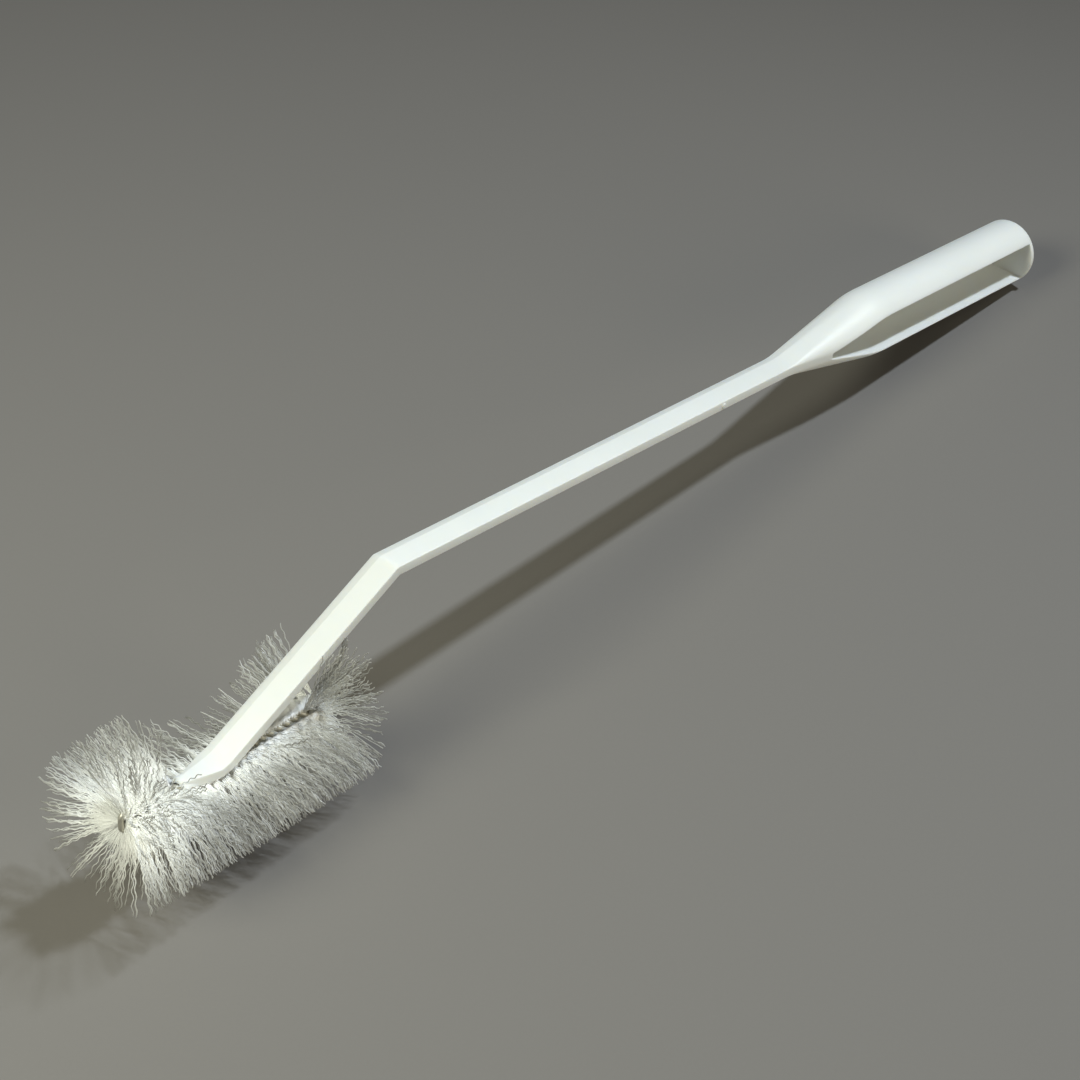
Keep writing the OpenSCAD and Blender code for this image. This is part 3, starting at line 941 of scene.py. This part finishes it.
# %% [markdown]
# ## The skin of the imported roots
#
# The skin is a strip that runs round the wire, with some thickness and round lips. Under the
# foot and the stem it is parted where the handle parts the filaments. Past the foot the roots
# rise beside the stem, so there its radius is a profile around the wire, and only a narrow gap
# on the near side stays open. Its edges are toothed as a row of roots is.

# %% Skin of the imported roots
SKIN_RINGS, SKIN_POINTS = 27, 40
# its edges past the foot, in degrees, and how they are toothed
SKIN_FROM, SKIN_TO, TOOTH_MM, TOOTH_DEGREES = -30, 300, 1.1, 9
# directions around the wire and the skin's radius there past the foot
SKIN_DEGREES = [-30, 25, 60, 120, 180, 240, 300]
SKIN_RADII = [2.3, 2.7, 4.8, 4.4, 3.8, 5.2, 5.6]
# places along the wire towards the tip and the skin's radius there
TIP_SKIN_X, TIP_SKIN_R = [-30.0, -27.0, -22.0, -15.0, -11.0], [2.2, 2.7, 4.8, 5.6, 4.4]
PLAIN_SKIN_R, FOOT_SKIN_R, CORE_R = 3.7, FOOT_R + 0.7, 2 * WIRE_R + 0.1
RISE_MM, CLOSING_MM = 6, 5    # over which it rises past the foot, and closes at the last roots
INNER_R, THIN_MM, LIP_TURN = 3.3, 1.1, 0.35
SPIRAL_MM, ROUGH_MM = 0.2, 0.05


def root_skin(first_x, last_x):
    """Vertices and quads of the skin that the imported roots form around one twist."""
    rings = []
    for x in np.linspace(first_x, last_x, SKIN_RINGS):
        open_far, open_near = folded(np.array([x, x]), np.array([JUST_OFF, -JUST_OFF]))
        raised = min(max((x - FOOT_L / 2) / RISE_MM, 0), 1)
        tooth = TOOTH_DEGREES * math.sin(2 * math.pi * x / TOOTH_MM)
        first = open_far + (math.radians(SKIN_FROM + tooth) - open_far) * raised
        last = 2 * math.pi + open_near
        last += (math.radians(SKIN_TO) - last) * raised
        angles = np.linspace(first, last, SKIN_POINTS)
        strands = 2 * math.pi * (x - twist_from) / TWIST_PITCH
        radius = PLAIN_SKIN_R if x > 0 else np.interp(x, TIP_SKIN_X, TIP_SKIN_R)
        radius += (np.interp(np.degrees(angles), SKIN_DEGREES, SKIN_RADII) - radius) * raised
        swell = radius + SPIRAL_MM * np.cos(2 * (angles - strands))
        swell += rng.normal(0, ROUGH_MM, SKIN_POINTS)
        swell = np.where(abs(x) < FOOT_L / 2, FOOT_SKIN_R, swell)
        closing = min((ROOTS_END - x) / CLOSING_MM, 1)
        swell = CORE_R + (swell - CORE_R) * math.sqrt(closing * (2 - closing))
        inner = np.minimum(swell - THIN_MM, INNER_R)
        lip = np.clip(np.minimum(angles - angles[0], angles[-1] - angles) / LIP_TURN, 0, 1)
        middle, half = (swell + inner) / 2, (swell - inner) / 2 * np.sqrt(lip * (2 - lip))
        for reach, turns in ((middle + half, angles), ((middle - half)[::-1], angles[::-1])):
            rings.append(np.stack([np.full(SKIN_POINTS, x), reach * np.sin(turns),
                                   reach * np.cos(turns)], -1))
    size = 2 * SKIN_POINTS
    faces = [(a * size + j, a * size + (j + 1) % size, (a + 1) * size + (j + 1) % size,
              (a + 1) * size + j) for a in range(SKIN_RINGS - 1) for j in range(size)]
    return np.concatenate(rings), np.array(faces)


print("points in the skin of one twist:", 2 * SKIN_POINTS * SKIN_RINGS)

# %% All twists
def filament_mesh(groups, skin, name):
    """One mesh of the tubes around several groups of paths and the skin of their roots."""
    spots, faces, start = [skin[0]], skin[1].tolist(), len(skin[0])
    for verts, quads, ends in map(tubes, groups):
        faces += (quads + start).tolist() + (ends + start).tolist()
        spots.append(verts)
        start += len(verts)
    data = bpy.data.meshes.new(name)
    data.from_pydata(from_wire(np.concatenate(spots)), [], faces)
    data.polygons.foreach_set("use_smooth", [True] * len(data.polygons))
    return data


total = 0
for number in range(1, TURNS + 1):
    near_x = ROOTS_END - (number - 1) * TWIST_PITCH
    stretch = TIP_ROOTS if number == TURNS else near_x - TWIST_PITCH, near_x
    many = {1: CLUMPS_TAIL, 2: CLUMPS_TIP, TURNS: CLUMPS_TIP}.get(number, CLUMPS)
    long = rest_on_table(crimp(filament_paths(*stretch, many, SEGMENTS)))
    many_short = SHORT_CLUMPS_TIP if near_x < 0 else SHORT_CLUMPS
    short = filament_paths(*stretch, many_short, SHORT_SEGMENTS, ROOT_REACH)
    name = f"filaments_{number:02d}"
    data = filament_mesh([long, short], root_skin(*stretch), name)
    piece = bpy.data.objects.new(name, data)
    bpy.context.scene.collection.objects.link(piece)
    finish_piece(piece, f"bristle_turn_{number:02d}", nylon)
    total += len(long)
print(total, "long filaments in", TURNS, "pieces")

# %% [markdown]
# ## Table, lights and world
#
# The brush lies on a plain grey table. A small lamp high on the far right throws the crisp
# shadow of the handle, a large soft lamp on the left fills it with warmer light, a broad lamp low
# in front brightens the sides that face it, and a dim world keeps the deepest shadows from going
# black. Together they give a level at which a colour renders about as it is written.

# %% Table
TABLE_SIZE = 6.0
FLECK_MM = 1.2

table_paint, tree, shader = new_material("matt_grey_board")
place = add_node(tree, "ShaderNodeTexCoord").outputs["Object"]
fleck = add_node(tree, "ShaderNodeTexNoise",
                 {"Vector": place, "Scale": per_metre(FLECK_MM), "Detail": 2.0})
colour = add_node(tree, "ShaderNodeMix", {"Factor": fleck.outputs["Fac"], 6: paint("#7b7773"),
                  7: paint("#7d7975")}, data_type="RGBA")
tree.links.new(colour.outputs[2], shader.inputs["Base Color"])
shader.inputs["Roughness"].default_value = 0.75
shader.inputs["Specular IOR Level"].default_value = 0.2

half = TABLE_SIZE / 2
table_data = bpy.data.meshes.new("table")
table_data.from_pydata([(-half, -half, 0), (half, -half, 0), (half, half, 0), (-half, half, 0)],
                       [], [(0, 1, 2, 3)])
table_data.materials.append(table_paint)
table = bpy.data.objects.new("table", table_data)
bpy.context.scene.collection.objects.link(table)
print("table", TABLE_SIZE, "m wide")

# %% Lamps and world
KEY_AT, KEY_AIM = Vector((0.466, -0.220, 0.844)), Vector((-0.50, -0.36, 0.0))
KEY_LEVEL, KEY_TINT = 28.0, (0.89, 1.0, 1.10)
KEY_CONE, KEY_BLEND, KEY_R = math.radians(172), 0.94, 0.034
SOFT_AT, SOFT_SIZE = Vector((-0.70, 0.14, 0.64)), 0.4
SOFT_WATTS, SOFT_TINT = 5.6, (0.98, 1.0, 0.84)
FRONT_AT, FRONT_SIZE = Vector((0.2, -4.0, 1.15)), 2.0
FRONT_WATTS, FRONT_TINT = 48.0, (1.06, 1.0, 0.80)
WORLD_TINT, WORLD_LEVEL = (1.0, 0.8, 0.6, 1.0), 0.01


def aim(obj, at, target):
    """Puts a lamp at a place and turns it to a target."""
    turn = (target - at).to_track_quat("-Z", "Y").to_matrix().to_4x4()
    obj.matrix_world = Matrix.Translation(at) @ turn
    bpy.context.scene.collection.objects.link(obj)


key_data = bpy.data.lights.new("key", "SPOT")
key_data.energy, key_data.color = 1.0, KEY_TINT
key_data.spot_size, key_data.spot_blend, key_data.shadow_soft_size = KEY_CONE, KEY_BLEND, KEY_R
key_data.use_nodes = True
lamp = key_data.node_tree
emission = lamp.nodes["Emission"]
falloff = add_node(lamp, "ShaderNodeLightFalloff", {"Strength": KEY_LEVEL})
lamp.links.new(falloff.outputs["Constant"], emission.inputs["Strength"])
aim(bpy.data.objects.new("key", key_data), KEY_AT, KEY_AIM)

for name, at, size, watts, tint in (("soft", SOFT_AT, SOFT_SIZE, SOFT_WATTS, SOFT_TINT),
                                    ("front", FRONT_AT, FRONT_SIZE, FRONT_WATTS, FRONT_TINT)):
    area = bpy.data.lights.new(name, "AREA")
    area.shape, area.size, area.energy, area.color = "DISK", size, watts, tint
    aim(bpy.data.objects.new(name, area), at, Vector((0, 0, 0)))

world = bpy.data.worlds.new("room")
bpy.context.scene.world = world
world.use_nodes = True
world.node_tree.nodes["Background"].inputs["Color"].default_value = WORLD_TINT
world.node_tree.nodes["Background"].inputs["Strength"].default_value = WORLD_LEVEL
bpy.context.scene.view_settings.view_transform = "Standard"
print("lamps: key, soft and front")

# %% Finish
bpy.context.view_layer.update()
